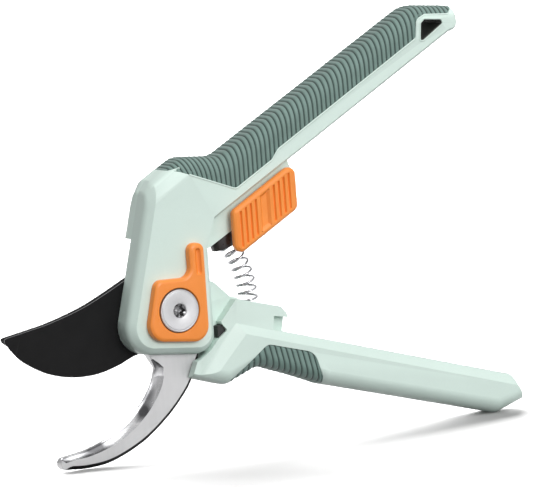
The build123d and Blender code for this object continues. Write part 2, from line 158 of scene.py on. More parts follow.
def circle(radius, centre=(0, 0), count=72):
    """Points round a circle, counter-clockwise."""
    return [Vector(centre) + Vector(polar(radius, 360 * k / count)) for k in range(count)]


def counter_clockwise(line):
    """The same outline, turned round if it runs clockwise."""
    area = sum(line[i - 1].x * line[i].y - line[i].x * line[i - 1].y for i in range(len(line)))
    return line if area > 0 else line[::-1]


def inset(line, widths):
    """A counter-clockwise outline moved inwards, by one width or one width per point."""
    count = len(line)
    out = []
    for i, point in enumerate(line):
        a = (point - line[i - 1]).normalized()
        b = (line[(i + 1) % count] - point).normalized()
        na, nb = Vector((-a.y, a.x)), Vector((-b.y, b.x))
        width = widths[i] if isinstance(widths, list) else widths
        out.append(point + (na + nb) / max(0.6, 1 + na.dot(nb)) * width)
    return out


def height_at(line, x):
    """Height of an open line at x; the line runs towards +x."""
    for a, b in zip(line, line[1:]):
        if a.x <= x <= b.x and b.x > a.x:
            return a.y + (b.y - a.y) * (x - a.x) / (b.x - a.x)
    return line[0].y if x < line[0].x else line[-1].y


# ------------------------------------------------------------------ meshes
def finish_piece(name, bm, materials, body, nodes, bevel=0.15, segments=2):
    """Makes the object, softens its sharp edges and puts it on its body."""
    bmesh.ops.remove_doubles(bm, verts=bm.verts, dist=1e-7)
    bmesh.ops.recalc_face_normals(bm, faces=bm.faces)
    for face in bm.faces:
        face.smooth = True
    mesh = bpy.data.meshes.new(name)
    bm.to_mesh(mesh)
    bm.free()
    for material in materials:
        mesh.materials.append(material)
    piece = bpy.data.objects.new(name, mesh)
    scene.collection.objects.link(piece)
    soften(piece, bevel, segments)
    if nodes:
        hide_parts(*nodes)
    if body:
        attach(piece, body)
    return piece


def soften(piece, width, segments=2):
    """Rounds the sharp edges of a piece, so that they catch light like moulded or ground ones."""
    if width <= 0:
        return
    edge = piece.modifiers.new("soft_edges", "BEVEL")
    edge.width = width * MM
    edge.segments = segments
    edge.limit_method = "ANGLE"
    edge.angle_limit = radians(28)
    edge.harden_normals = True


def add_loops(bm, loops, mark=None):
    """Joins equal loops of points with quads, and returns the loops of vertices."""
    rings = [[bm.verts.new(p) for p in loop] for loop in loops]
    for k in range(len(rings) - 1):
        low, high = rings[k], rings[k + 1]
        for i in range(len(low)):
            j = (i + 1) % len(low)
            face = bm.faces.new((low[i], low[j], high[j], high[i]))
            if mark:
                face.material_index = mark(k, i)
    return rings


def loop_edges(bm, ring):
    """Edges between neighbouring vertices of a closed ring, made where they are missing."""
    pairs = [(ring[i - 1], ring[i]) for i in range(len(ring))]
    return [bm.edges.get(pair) or bm.edges.new(pair) for pair in pairs]


def fill(bm, rings, index=0):
    """Fills the space inside the first ring, leaving the other rings open."""
    edges = [e for ring in rings for e in loop_edges(bm, ring)]
    made = bmesh.ops.triangle_fill(bm, edges=edges, use_beauty=True, use_dissolve=False)
    for item in made["geom"]:
        if isinstance(item, bmesh.types.BMFace):
            item.material_index = index


def layers_of(line, layers):
    """Loops of points from an outline, one for each (inset, depth)."""
    return [[place(p.x, depth, p.y) for p in inset(line, width)] for width, depth in layers]


def panel(line, layers, holes=(), recesses=(), mark=None):
    """Upright body: layers are (inset, depth) from back to front. Holes go through it, and recesses
    are sunk into its front face."""
    bm = bmesh.new()
    line = counter_clockwise(line)
    rings = add_loops(bm, layers_of(line, layers), mark)
    back, front = [rings[0]], [rings[-1]]
    for hole, hole_layers in holes:
        inner = add_loops(bm, layers_of(counter_clockwise(hole), hole_layers))
        back.append(inner[0])
        front.append(inner[-1])
    for dish, dish_layers in recesses:
        inner = add_loops(bm, layers_of(counter_clockwise(dish), dish_layers))
        front.append(inner[0])
        fill(bm, [inner[-1]])
    fill(bm, back)
    fill(bm, front)
    return bm


def turned(bm, profile, count=96, mark=None):
    """Rings about the pivot axis from (radius, depth) pairs; a radius may be a function of the angle."""
    loops = []
    for radius, depth in profile:
        loop = []
        for k in range(count):
            angle = 360 * k / count
            r = radius(angle) if callable(radius) else radius
            x, z = polar(r, angle)
            loop.append(place(x, depth, z))
        loops.append(loop)
    rings = add_loops(bm, loops, mark)
    fill(bm, [rings[0]])
    fill(bm, [rings[-1]])


# ------------------------------------------------------------------ materials
def linear(r, g, b):
    """Linear colour from display values of 0 to 255."""
    shares = (r / 255, g / 255, b / 255)
    return tuple(c / 12.92 if c <= 0.04045 else ((c + 0.055) / 1.055) ** 2.4 for c in shares)


def noise(tree, coords, scale, detail=3.0, stretch=None):
    """Noise on the piece's own coordinates, drawn out along a direction if stretch is given."""
    node = tree.nodes.new("ShaderNodeTexNoise")
    node.inputs["Scale"].default_value = scale
    node.inputs["Detail"].default_value = detail
    if stretch:
        mapping = tree.nodes.new("ShaderNodeMapping")
        mapping.inputs["Scale"].default_value = stretch
        tree.links.new(coords, mapping.inputs["Vector"])
        coords = mapping.outputs["Vector"]
    tree.links.new(coords, node.inputs["Vector"])
    return node.outputs["Fac"]


def spread(tree, value, low, high, start=0.3, end=0.7):
    """Maps noise to a range."""
    node = tree.nodes.new("ShaderNodeMapRange")
    for name, number in (("From Min", start), ("From Max", end), ("To Min", low), ("To Max", high)):
        node.inputs[name].default_value = number
    tree.links.new(value, node.inputs["Value"])
    return node.outputs["Result"]


def mixed(tree, factor, first, second):
    """Colour between two colours, each a tuple or a node's output."""
    node = tree.nodes.new("ShaderNodeMix")
    node.data_type = "RGBA"
    for socket, value in ((6, first), (7, second)):
        if isinstance(value, tuple):
            node.inputs[socket].default_value = (*value, 1)
        else:
            tree.links.new(value, node.inputs[socket])
    if isinstance(factor, float):
        node.inputs[0].default_value = factor
    else:
        tree.links.new(factor, node.inputs[0])
    return node.outputs[2]


def bumped(tree, shader, height, distance, strength=1.0):
    """Adds a bump of that many metres on top of any bump that the shader already has."""
    node = tree.nodes.new("ShaderNodeBump")
    node.inputs["Distance"].default_value = distance
    node.inputs["Strength"].default_value = strength
    tree.links.new(height, node.inputs["Height"])
    if shader.inputs["Normal"].is_linked:
        tree.links.new(shader.inputs["Normal"].links[0].from_socket, node.inputs["Normal"])
    tree.links.new(node.outputs["Normal"], shader.inputs["Normal"])


def start_material(name, **settings):
    """New material with shader settings, and the handles that its nodes are built from."""
    material = bpy.data.materials.new(name)
    material.use_nodes = True
    tree = material.node_tree
    shader = tree.nodes["Principled BSDF"]
    for key, value in settings.items():
        shader.inputs[key.replace("_", " ").title().replace("Ior", "IOR")].default_value = value
    coords = tree.nodes.new("ShaderNodeTexCoord").outputs["Object"]
    return material, tree, shader, coords


def moulded(name, colour, roughness, grain=1.0, wear=0.05, **settings):
    """Moulded plastic: faint flow marks in the colour, a fine spark-eroded grain and worn edges."""
    material, tree, shader, coords = start_material(name, **settings)
    darker = tuple(c * (1 - wear) for c in colour)
    flow = noise(tree, coords, 45, 4)
    tint = mixed(tree, spread(tree, flow, 0, 1), darker, colour)
    speck = noise(tree, coords, 1800, 2)
    tint = mixed(tree, spread(tree, speck, 0, 0.12), tint, tuple(min(1, c * 1.12) for c in colour))
    edges = tree.nodes.new("ShaderNodeNewGeometry").outputs["Pointiness"]
    worn = tuple(min(1, c * 1.2 + 0.02) for c in colour)
    tint = mixed(tree, spread(tree, edges, 0, 0.35, 0.52, 0.62), tint, worn)
    tree.links.new(tint, shader.inputs["Base Color"])
    smudges = noise(tree, coords, 110, 3)
    tree.links.new(spread(tree, smudges, roughness - 0.05, roughness + 0.06), shader.inputs["Roughness"])
    bumped(tree, shader, noise(tree, coords, 2600, 2), 0.000012 * grain)
    bumped(tree, shader, noise(tree, coords, 300, 2), 0.00002 * grain)
    return material


def soft_rubber(name, colour, groove, roughness=0.6):
    """Soft grip: painted shade that darkens the grooves, so the crowns read paler, and a velvety sheen."""
    material, tree, shader, coords = start_material(name, sheen_weight=0.12, sheen_roughness=0.5)
    depth = tree.nodes.new("ShaderNodeAttribute")
    depth.attribute_name = "groove"
    mottled = mixed(tree, spread(tree, noise(tree, coords, 160, 4), 0, 1), tuple(c * 0.9 for c in colour),
                    tuple(c * 1.07 for c in colour))
    # painted shade: the groove colour is mixed in towards the grooves' bottoms, where their shade falls
    tint = mixed(tree, spread(tree, depth.outputs["Fac"], 0, 1, 0, 1), mottled, groove)
    tree.links.new(tint, shader.inputs["Base Color"])
    dust = noise(tree, coords, 700, 3)
    tree.links.new(spread(tree, dust, roughness - 0.07, roughness + 0.08), shader.inputs["Roughness"])
    bumped(tree, shader, noise(tree, coords, 3200, 3), 0.000025)
    return material


def ground_steel(name, colour, roughness, direction, marks=0.00002, stains=0.1, **settings):
    """Ground or plated metal: fine lines along one direction and soft stains."""
    material, tree, shader, coords = start_material(name, metallic=1.0, **settings)
    lines = noise(tree, coords, 900, 4, direction)
    tint = mixed(tree, spread(tree, lines, 0, 1), tuple(c * 0.94 for c in colour), colour)
    stained = tuple(c * (1 - stains) for c in colour)
    tint = mixed(tree, spread(tree, noise(tree, coords, 60, 4), 0, 1), tint, stained)
    tree.links.new(tint, shader.inputs["Base Color"])
    tree.links.new(spread(tree, lines, roughness - 0.05, roughness + 0.08), shader.inputs["Roughness"])
    bumped(tree, shader, lines, marks)
    return material


def painted_reflection_steel(name, bright, painted_dark, roughness):
    """Polished hollow grind: broad bright and dark bands of painted reflection over faint grinding lines.
    """
    material, tree, shader, coords = start_material(name, metallic=1.0)
    # painted reflection: broad bright and dark bands in the base colour
    painted_reflection_bands = spread(tree, noise(tree, coords, 95, 1), 0, 1, 0.40, 0.56)
    tint = mixed(tree, painted_reflection_bands, painted_dark, bright)
    lines = noise(tree, coords, 900, 3, (0.3, 1.0, 0.3))
    tint = mixed(tree, spread(tree, lines, 0, 0.2), tint, painted_dark)
    tree.links.new(tint, shader.inputs["Base Color"])
    tree.links.new(spread(tree, lines, roughness - 0.04, roughness + 0.08), shader.inputs["Roughness"])
    bumped(tree, shader, lines, 0.000006)
    return material


ALONG_X = (0.04, 1.0, 1.0)      # noise drawn out along the x axis
MINT = moulded("mint_shell", linear(209, 227, 219), 0.42)
# the second colour is painted shade for the grip's grooves
GRIP = soft_rubber("soft_grip", linear(112, 137, 130), linear(48, 66, 61))
# painted shade: the hole's inside is coloured dark where the shadow falls in it
PAINTED_SHADE_LINER = moulded("hole_shade_liner", linear(52, 56, 52), 0.6, 1.2)
ORANGE = moulded("orange_shell", linear(243, 142, 55), 0.34, 0.6, 0.04)
BLACK_PLASTIC = moulded("black_plastic", linear(38, 30, 29), 0.28, 0.8)
BLACK_RUBBER = moulded("black_rubber", linear(30, 30, 31), 0.6, 1.5)
# real black coating on the blade; on the hook's outer bevel the same black is a painted dark reflection
COATING_AND_PAINTED_DARK = moulded("blade_coating", linear(9, 9, 10), 0.6, 1.6, 0.2, specular_ior_level=0.15)
BARE_EDGE = ground_steel("bare_edge", linear(140, 140, 142), 0.4, ALONG_X)
HOOK_STEEL = ground_steel("hook_steel", linear(192, 192, 193), 0.55, (1.0, 1.0, 0.05))
# polished steel whose base colour carries painted reflection bands
POLISHED_PAINTED_REFLECTIONS = painted_reflection_steel("steel_painted_reflections", linear(226, 226, 228), linear(92, 92, 94), 0.2)
BOLT_STEEL = ground_steel("bolt_steel", linear(190, 190, 192), 0.5, (1.0, 0.2, 1.0), 0.000004, stains=0.03)
# darker steel for the bolt's socket: painted shade in the recess
SOCKET_PAINTED_SHADE = ground_steel("socket_steel_painted_shade", linear(120, 120, 122), 0.2, (1.0, 1.0, 1.0))
PIN_STEEL = ground_steel("pin_steel", linear(160, 160, 162), 0.3, (1.0, 0.2, 1.0))
SPRING_STEEL = ground_steel("spring_steel", linear(190, 190, 194), 0.18, (1.0, 1.0, 1.0), 0.000005)
BRONZE = ground_steel("sintered_bronze", linear(170, 130, 84), 0.4, (1.0, 1.0, 1.0))


# ------------------------------------------------------------------ ribbed soft grips
RIB_DEPTH = 0.5


def edge_rise(edge, x, z, fillet):
    """How far an edge lies above z, and how tall its rounding is there."""
    slope = height_at(edge, x + 0.5) - height_at(edge, x - 0.5)
    return height_at(edge, x) - z, fillet * sqrt(1 + slope * slope)


def ribbed_grip(name, body, node, edge, border, span, face, back, fillet, pitch, lean, side):
    """Grip that wraps a handle's edge from a border on its front to the same border on its back.

    edge and border are lines that run towards +x. side is 1 where the edge is above the border and
    -1 where it is below. lean(x) is the ribs' slope at the border, and pitch is their distance."""
    bm = bmesh.new()
    groove = bm.verts.layers.float.new("groove")
    phases = (0.0, 0.07, 0.14, 0.22, 0.36, 0.52, 0.68, 0.8, 0.88, 0.94)
    columns = []
    count = int((span[1] - span[0]) / pitch)
    step = (span[1] - span[0]) / count
    for rib in range(count):
        columns += [(rib + phase) for phase in phases]
    columns.append(float(count))
    flat_steps, arc_steps, top_steps = 9, 9, 7
    grid = []
    for value in columns:
        x_border = span[0] + value * step
        slope = lean(x_border)
        low = height_at(border, x_border)
        x_edge = x_border
        for _ in range(4):
            high = height_at(edge, x_edge)
            x_edge = x_border - slope * (high - low)
        rise = max(0.02, side * (high - low))
        near = (height_at(edge, x_edge + 0.5) - height_at(edge, x_edge - 0.5)) / 1.0
        tall = min(fillet * sqrt(1 + near * near), 11.0)
        start = 0.0
        if rise < tall:
            start = asin(1 - rise / tall)
        section = []
        straight = max(0.0, rise - tall)
        for k in range(flat_steps):
            section.append((0.0, straight * k / flat_steps, (-1.0, 0.0)))
        for k in range(arc_steps + 1):
            a = start + (pi / 2 - start) * k / arc_steps
            section.append((fillet * (1 - cos(a)), rise - tall * (1 - sin(a)), (-cos(a), sin(a))))
        half = (back - face) / 2 - fillet
        for k in range(1, top_steps + 1):
            section.append((fillet + half * k / top_steps, rise, (0.0, 1.0)))
        whole = section + [(back - face - d, h, (-n[0], n[1])) for d, h, n in section[-2::-1]]
        if rise < tall:
            first = fillet * (1 - cos(start))
            reach, normal = whole[flat_steps][1:]
            for k in range(flat_steps):
                whole[k] = (first, reach, normal)
                whole[-1 - k] = (back - face - first, reach, (-normal[0], normal[1]))
        phase = value % 1.0
        away = min(phase, 1 - phase)
        cut = RIB_DEPTH * (1 - ease(away, 0.0, 0.24)) + 0.22 * phase * ease(1 - phase, 0.0, 0.2)
        # painted shade: how far the grip's colour is darkened towards each groove's bottom
        painted_dark = 1 - ease(away, 0.02, 0.2)
        column = []
        for number, (d, h, n) in enumerate(whole):
            rim = min(number, len(whole) - 1 - number)
            inward = cut + (0.35 if rim == 0 else 0.0)
            share = h / rise
            x = x_border + (x_edge - x_border) * share
            z = low + side * h
            point = place(x, face + d - n[0] * inward, z - side * n[1] * inward)
            vert = bm.verts.new(point)
            vert[groove] = painted_dark
            column.append(vert)
        grid.append(column)
    for a, b in zip(grid, grid[1:]):
        for i in range(len(a) - 1):
            bm.faces.new((a[i], a[i + 1], b[i + 1], b[i]))
    bmesh.ops.remove_doubles(bm, verts=bm.verts, dist=1e-6)
    piece = finish_piece(name, bm, [GRIP], None, [node], bevel=0)
    wall = piece.modifiers.new("wall", "SOLIDIFY")
    wall.thickness = 1.4 * MM
    wall.offset = -1.0
    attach(piece, body)
    return piece


upper_edge = rounded(
    [(-5.6, 43.8), (8.5, 51.9), (23.2, 50.6), (103.6, 94.5), (119.9, 92.6)], [0, 8.0, 9.0, 12.0, 0],
    turn=5, closed=False)
upper_border_line = [(1.9, 48.1), (6.0, 47.4), (27.2, 39.0), along(60.0, 20.7), along(64.0, 22.4),
                     along(130.2, 22.4), (103.4, 89.6), (107.0, 91.0), (116.4, 90.2), (119.3, 92.7)]
upper_border_radii = [0, 6.0, 2.5, 2.0, 2.0, 1.5, 2.5, 1.0, 1.0, 0]
upper_border = rounded(upper_border_line, upper_border_radii, turn=8, closed=False)
ribbed_grip("upper_soft_grip", "upper_handle", "upper_grip", upper_edge, upper_border, (2.0, 119.2),
            HEAD_FACE, BACK_FACE, 6.0, 1.784, lambda x: 0.34 * (1 - ease(x, 4, 30)), 1)

lower_edge = rounded(
    [(5.6, -24.6), (19.5, -29.0), (32.6, -23.8), (48.5, -29.6), (57.8, -33.4), (122.9, -51.2)],
    [0, 7.0, 7.0, 7.0, 7.0, 0], turn=5, closed=False)
lower_border = rounded([(20.7, -28.4), (21.2, -26.5), (35.3, -16.2), (53.6, -21.3), (57.4, -33.2)],
                       [0, 0, 3.5, 5.5, 0], turn=8, closed=False)
ribbed_grip("lower_soft_grip", "lower_handle", "lower_grip", lower_edge, lower_border, (21.0, 57.3),
            LOWER_FACE, BACK_FACE, 5.0, 2.05, lambda x: 0.22, -1)


# ------------------------------------------------------------------ hook
def hook():
    """Counter blade: a hollow-ground inner side, an outer bevel painted black as a dark reflection, and a
    rounded tip.
    """
    inner = smooth([(-5.9, -20.2), (-7.9, -26.0), (-12.8, -32.6), (-19.8, -38.4), (-26.9, -42.2),
                    (-34.4, -44.8), (-41.4, -46.0), (-43.6, -46.3)], 7)
    tip = [Vector((-43.8, -48.5)) + Vector(polar(2.2, a)) for a in range(104, 260, 13)]
    outer = smooth([(-43.8, -50.7), (-35.4, -51.2), (-25.3, -49.9), (-13.1, -44.8), (-3.1, -37.6),
                    (3.9, -30.6), (8.0, -24.6), (12.6, -13.0)], 7)
    hub = [Vector(polar(13.0, a)) for a in range(0, 181, 8)]
    neck = smooth([(-13.0, 0.0), (-10.9, -11.0), (-5.9, -20.2)], 8)[1:-1]
    line = inner + tip + outer + hub + neck
    front, lip = [], []            # width of the front bevel, and share of the hollow grind
    for i, point in enumerate(line):
        on_inner = i < len(inner) + 3 or i >= len(line) - len(neck)
        if on_inner:
            grown = ease(-point.y, 15.0, 23.0) * (1 - 0.42 * ease(-point.x, 18.0, 44.0))
            front.append(0.25 + 2.75 * grown)
            lip.append(grown)
        else:
            # painted dark reflection: the outer bevel is wider here and painted black
            painted_dark = ease(-point.y, 13.0, 18.0) * ease(point.x, -45.0, -41.5)
            front.append(0.2 + 1.15 * painted_dark)
            lip.append(0.0)
    line_ccw = counter_clockwise(line)
    if line_ccw is not line:
        front, lip = front[::-1], lip[::-1]
    # points whose outer bevel gets the painted dark reflection
    painted_dark_band = {i for i in range(len(front)) if lip[i] == 0.0 and front[i] > 0.3}
    face = HOOK_FACE
    bm = bmesh.new()
    hollow_steps = 7
    base = [Vector(p) for p in line_ccw]
    loops = layers_of(base, [(0.05, -0.02), (0.0, -0.25)])
    for k in range(hollow_steps + 1):
        t = k / hollow_steps
        ring = inset(base, [w * t for w in front])
        loop = []
        for i, p in enumerate(ring):
            if lip[i] > 0:
                sag = 0.55 * sin(pi * t) * lip[i]
                edge_depth = face + 2.7 * lip[i] + 0.3 * (1 - lip[i])
                loop.append(place(p.x, edge_depth + (face - edge_depth) * t + sag, p.y))
            else:
                edge_depth = face + (1.1 if front[i] > 0.3 else 0.25)
                loop.append(place(p.x, edge_depth + (face - edge_depth) * t, p.y))
        loops.append(loop)

    def mark(k, i):
        """Painted dark reflection on the outer bevel, painted reflection bands on the hollow grind, ground
        steel elsewhere.
        """
        if k >= 1 and i in painted_dark_band:
            return 2
        return 1 if k >= 2 and lip[i] > 0.05 else 0

    rings = add_loops(bm, loops, mark)
    bore = add_loops(bm, layers_of(circle(4.0), [(0, -0.02), (0, face)]))
    fill(bm, [rings[0], bore[0]])
    fill(bm, [rings[-1], bore[-1]])
    # the black coating here stands in for a painted dark reflection on the outer bevel
    metals = [HOOK_STEEL, POLISHED_PAINTED_REFLECTIONS, COATING_AND_PAINTED_DARK]
    finish_piece("hook", bm, metals, "upper_handle", ["hook_blade"], 0.06, 1)


hook()


# ------------------------------------------------------------------ cutting blade
def blade():
    """Coated cutting blade with a bare spine and an edge ground on its back."""
    spine = smooth([(-9.0, 14.2), (-13.8, 11.6), (-29.3, 4.6), (-43.2, 0.4), (-51.9, -1.3),
                    (-61.2, -2.9)], 7)
    tip = smooth([(-62.1, -3.2), (-62.4, -3.7), (-62.1, -4.6)], 3)
    edge = smooth([(-60.3, -7.4), (-55.8, -12.0), (-46.8, -17.1), (-36.8, -19.6), (-27.3, -19.6),
                   (-19.0, -17.6), (-11.3, -14.8), (2.0, -13.0)], 7)
    tang = [Vector(p) for p in ((14.0, -16.0), (40.0, -21.8), (42.0, -16.6), (24.0, -12.2),
                                (15.0, -3.0), (9.2, 9.2))]
    crown = smooth([(5.8, 12.4), (1.5, 14.2), (-4.0, 14.8)], 4)
    line = spaced(spine + tip + edge + tang + crown, 3.0)
    ccw = counter_clockwise(line)
    ground = []
    for p in ccw:
        sharp = p.y < -4.0 and p.x < -6.0
        ground.append(5.2 * ease(-p.x, 8.0, 22.0) * ease(-p.y, 4.2, 8.5) if sharp else 0.1)
    bare = {i for i, p in enumerate(ccw) if p.x < -6.0 and p.y >= -4.0}

    def mark(k, i):
        if k == 0 and ground[i] > 0.5:
            return 2
        return 1 if k == 1 and i in bare else 0

    half = BLADE_BACK - 0.02
    layers = [([max(0.1, g) for g in ground], half), (0.0, 0.35), (0.08, 0.02)]
    bm = bmesh.new()
    loops = layers_of(ccw, layers)
    for i, g in enumerate(ground):
        if g <= 0.5:
            p = ccw[i]
            loops[0][i] = place(p.x, half, p.y)
    rings = add_loops(bm, loops, mark)
    bore = add_loops(bm, layers_of(circle(5.1), [(0, half), (0, 0.02)]))
    fill(bm, [rings[0], bore[0]])
    fill(bm, [rings[-1], bore[-1]])
    # the ground edge carries the painted reflection bands
    metals = [COATING_AND_PAINTED_DARK, BARE_EDGE, POLISHED_PAINTED_REFLECTIONS]
    finish_piece("blade", bm, metals, "lower_handle", ["cutting_blade"], 0.1, 2)


blade()


# ------------------------------------------------------------------ pivot bolt
def bolt():
    """Round-headed pivot bolt with a six-lobed socket."""

    def lobes(radius, reach):
        """Radius that swells and shrinks six times in a turn."""
        return lambda angle: radius + reach * cos(radians(6 * angle))

    bm = bmesh.new()
    face = BOLT_FACE
    profile = [
        (0.4, face + 2.9), (lobes(1.75, 0.3), face + 2.7), (lobes(1.9, 0.35), face + 0.55),
        (2.45, face + 0.3), (2.6, face + 0.06), (2.75, face), (6.55, face), (6.75, face + 0.14),
        (6.95, face + 0.14), (7.1, face + 0.02), (BOLT_R - 0.15, face + 0.1), (BOLT_R, face + 0.35),
        (BOLT_R, face + 2.0), (4.0, face + 2.0), (3.98, BOLT_END - 0.5), (3.6, BOLT_END), (0.4, BOLT_END),
    ]
    # the socket's rings take the darker steel, painted shade in the recess
    turned(bm, profile, mark=lambda k, i: 1 if k < 3 else 0)
    metals = [BOLT_STEEL, SOCKET_PAINTED_SHADE]
    finish_piece("bolt", bm, metals, "upper_handle", ["pivot_bolt"], 0.05, 2)


bolt()


# ------------------------------------------------------------------ thumb lever
def capsule(start, end, radius):
    """Long hole with round ends."""
    a, b = Vector(start), Vector(end)
    lean = degrees((b - a).angle_signed(Vector((1, 0))))
    ends = [(b, -90), (a, 90)]
    return [c + Vector(polar(radius, lean + first + 15 * k)) for c, first in ends for k in range(13)]


def lever():
    """Thumb lever with a well for the bolt's head and a groove along its arm."""
    line = rounded([(-13.2, -9.4), (11.2, -12.2), (11.5, 22.5), (5.5, 22.5), (5.5, 10.9), (-8.1, 11.3)],
                   [6.0, 5.5, 2.6, 2.6, 3.6, 3.2], turn=8, longest=2.0)
    face = LEVER_FACE
    layers = [(0.0, LEVER_BACK), (0.0, face + 1.05), (0.22, face + 0.5), (0.95, face + 0.04), (1.25, face)]
    well = (circle(BOLT_R + 0.35), [(0, LEVER_BACK), (0, face + 0.35), (-0.25, face)])
    groove = (capsule((8.7, 12.6), (8.7, 19.6), 1.15),
              [(0.0, face), (0.25, face + 0.4), (0.65, face + 0.8), (0.95, face + 0.95)])
    bm = panel(line, layers, [well], [groove])
    finish_piece("lever", bm, [ORANGE], "thumb_lever", ["pivot_lever"], 0.12, 2)


lever()


# ------------------------------------------------------------------ lock slider
def slider():
    """Lock slider: a plate with grip grooves and a dish, and the guide block behind it."""
    left, right, low, high = 24.2, 50.0, 15.3, 31.6      # plate's sides, and the left side's ends
    climb = 14.5
    corners = [(left, high), (left, low), (right, low + climb), (right, high + climb)]
    line = rounded(corners, [2.2, 2.6, 2.6, 2.6], turn=8, longest=2.0)
    face = SLIDER_FACE
    plate_back = face + 2.6
    layers = [(0.15, plate_back), (0.0, plate_back - 0.25), (0.0, face + 0.95), (0.35, face + 0.4),
              (1.1, face)]
    rim = 1.75                     # plain edge that the grooves leave above and below

    def strip(x0, x1, drop, soft):
        """Groove between two heights that follow the slider's sloping sides."""
        slope = tan(UPPER_LEAN)
        ends = [(x0, low + rim), (x1, low + rim), (x1, high - rim), (x0, high - rim)]
        ends = [(x, z + slope * (x - left)) for x, z in ends]
        ring = rounded(ends, [min(0.3, (x1 - x0) / 2.6)] * 4, turn=30, longest=6.0)
        return (ring, [(0.0, face), (soft, face + drop)])

    pitch, groove = 2.05, 1.0
    starts = [26.6 + pitch * i for i in range(4)] + [40.2 + pitch * i for i in range(4)]
    dips = [strip(x, x + groove, 0.75, 0.42) for x in starts]
    dips.insert(4, strip(34.9, 39.0, 0.9, 1.0))      # the dish between the two sets of grooves
    bm = panel(line, layers, [], dips)
    guide_corners = [along(42.0, 10.5), along(50.0, 10.5), along(50.0, 13.5), along(42.0, 13.5)]
    guide = rounded(guide_corners, [0.6] * 4, turn=20)
    ring = add_loops(bm, layers_of(counter_clockwise(guide), [(0, -2.6), (0, plate_back)]))
    fill(bm, [ring[0]])
    fill(bm, [ring[-1]])
    finish_piece("slider", bm, [ORANGE], "lock", ["lock_slider"], 0.1, 2)


slider()


# ------------------------------------------------------------------ return spring
def spring():
    """Coil spring bowed about the pivot."""
    first, last, coils, per_turn = 44.0, -13.0, 10.5, 28
    arc, coil_radius, wire, middle = 32.8, 3.2, 0.4, -1.0
    curve = bpy.data.curves.new("spring_line", "CURVE")
    curve.dimensions = "3D"
    curve.bevel_depth = wire * MM
    curve.bevel_resolution = 3
    curve.use_fill_caps = True
    line = curve.splines.new("POLY")
    count = int(coils * per_turn)
    line.points.add(count)
    for k in range(count + 1):
        t = k / count
        angle = first + (last - first) * t
        turn = 2 * pi * coils * t
        x, z = polar(arc + coil_radius * cos(turn), angle)
        line.points[k].co = (*place(x, middle - coil_radius * sin(turn), z), 1)
    holder = bpy.data.objects.new("spring_holder", curve)
    mesh = bpy.data.meshes.new_from_object(holder)
    bpy.data.objects.remove(holder)
    mesh.name = "spring"
    mesh.materials.clear()
    mesh.materials.append(SPRING_STEEL)
    for polygon in mesh.polygons:
        polygon.use_smooth = True
    piece = bpy.data.objects.new("spring", mesh)
    scene.collection.objects.link(piece)
    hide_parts("return_spring")
    top, foot = polar(arc, first - 2), polar(arc, last + 2)
    place(top[0], middle, top[1])
    place(foot[0], middle, foot[1])
    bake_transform(piece)


spring()


# ------------------------------------------------------------------ raised lips of the mouldings
def bead(name, line, depths, radius, body, material, cyclic=False):
    """Thin rounded lip along a line, at a depth for each point."""
    curve = bpy.data.curves.new(name, "CURVE")
    curve.dimensions = "3D"
    curve.bevel_depth = radius * MM
    curve.bevel_resolution = 4
    curve.use_fill_caps = True
    spline = curve.splines.new("POLY")
    spline.points.add(len(line) - 1)
    for point, target, depth in zip(spline.points, line, depths):
        point.co = (*place(target.x, depth, target.y), 1)
    spline.use_cyclic_u = cyclic
    holder = bpy.data.objects.new(name + "_holder", curve)
    mesh = bpy.data.meshes.new_from_object(holder)
    bpy.data.objects.remove(holder)
    mesh.materials.clear()
    mesh.materials.append(material)
    for polygon in mesh.polygons:
        polygon.use_smooth = True
    piece = bpy.data.objects.new(name, mesh)
    scene.collection.objects.link(piece)
    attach(piece, body)


def lip_depth(point, fillet=6.0):
    """Depth of the upper handle's surface at a point of the grip's border."""
    rise, tall = edge_rise(upper_edge, point.x, point.y, fillet)
    if rise >= tall:
        return HEAD_FACE
    return HEAD_FACE + fillet * (1 - cos(asin(1 - max(0.0, rise) / tall)))


front_lip = [p for p in upper_border if 9.0 < p.x < 117.5]
lip_depths = [lip_depth(p) + 0.14 for p in front_lip]
bead("grip_lip", front_lip, lip_depths, 0.34, "upper_handle", MINT)
hang_hole_corners = [(104.0, 82.2), (104.6, 88.4), (106.2, 89.8), (113.0, 89.0), (113.8, 87.3),
                     (105.4, 82.0)]
hang_hole = rounded(hang_hole_corners, [0.7, 0.8, 0.6, 0.9, 0.9, 0.7], turn=12, longest=1.5)
hole_depths = [HEAD_FACE + 0.1] * len(hang_hole)
bead("hole_lip", hang_hole, hole_depths, 0.32, "upper_handle", MINT, True)


def hole_shade_liner():
    """Dark sleeve that lines the hanging hole: painted shade for the shadow inside the hole."""
    bm = bmesh.new()
    line = counter_clockwise(hang_hole)
    layers = [(0.02, BACK_FACE - 0.3), (0.02, HEAD_FACE + 0.5), (0.45, HEAD_FACE + 0.7),
              (0.45, BACK_FACE - 0.5)]
    loops = layers_of(line, layers)
    add_loops(bm, loops + loops[:1])     # the first loop again, so that the sleeve closes
    finish_piece("hole_shade_liner", bm, [PAINTED_SHADE_LINER], "upper_handle", [], 0.08, 1)


hole_shade_liner()


